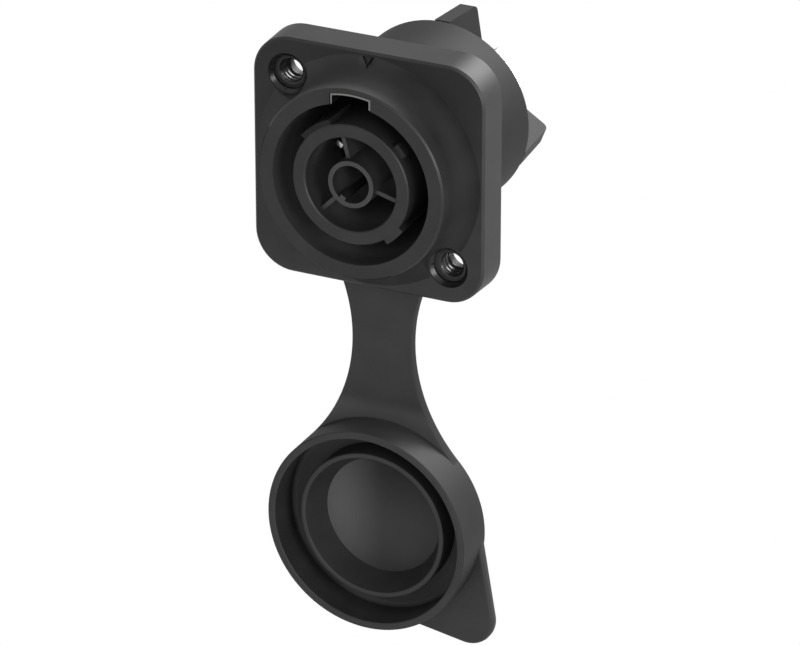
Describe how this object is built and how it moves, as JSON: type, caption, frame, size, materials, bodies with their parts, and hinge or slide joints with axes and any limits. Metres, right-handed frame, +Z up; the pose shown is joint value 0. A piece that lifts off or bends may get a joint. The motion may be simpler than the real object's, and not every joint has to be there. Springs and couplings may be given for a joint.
{
  "type": "panel mount power connector",
  "caption": "Square-flange panel power connector with a keyed round socket, rear push-on tabs between barrier ribs, and a rubber sealing cap on a strap.",
  "frame": {"origin": "on the connector's axis, where the gasket's rear face meets the panel", "axes": "+X right and +Z up as seen from the front, +Y into the panel along the barrel"},
  "size_m": [0.0262, 0.0298, 0.0669],
  "materials": {
    "housing_plastic": "satin",
    "insert_plastic": "satin",
    "black_rubber": "matte",
    "latch_steel": "satin",
    "plated_brass": "satin"
  },
  "bodies": {
    "connector": {"front_housing": "housing_plastic", "latch_plate": "latch_steel", "contact_insert": "insert_plastic", "insert_seal": "black_rubber", "terminal_block": "housing_plastic", "right_contact": "plated_brass", "left_contact": "plated_brass", "earth_contact": "plated_brass", "flange_gasket": "black_rubber"},
    "strap": {"tether_strap": "black_rubber"},
    "cap": {"sealing_cap": "black_rubber"}
  },
  "joints": [
    {"name": "strap_hinge", "type": "hinge", "parent": "connector", "child": "strap", "pos_m": [0, -0.0006, -0.014], "axis": [-1, 0, 0], "range_deg": [0, 75.08]},
    {"name": "cap_hinge", "type": "hinge", "parent": "strap", "child": "cap", "pos_m": [0, -0.0006, -0.02426], "axis": [-1, 0, 0], "range_deg": [0, 104.92]}
  ]
}
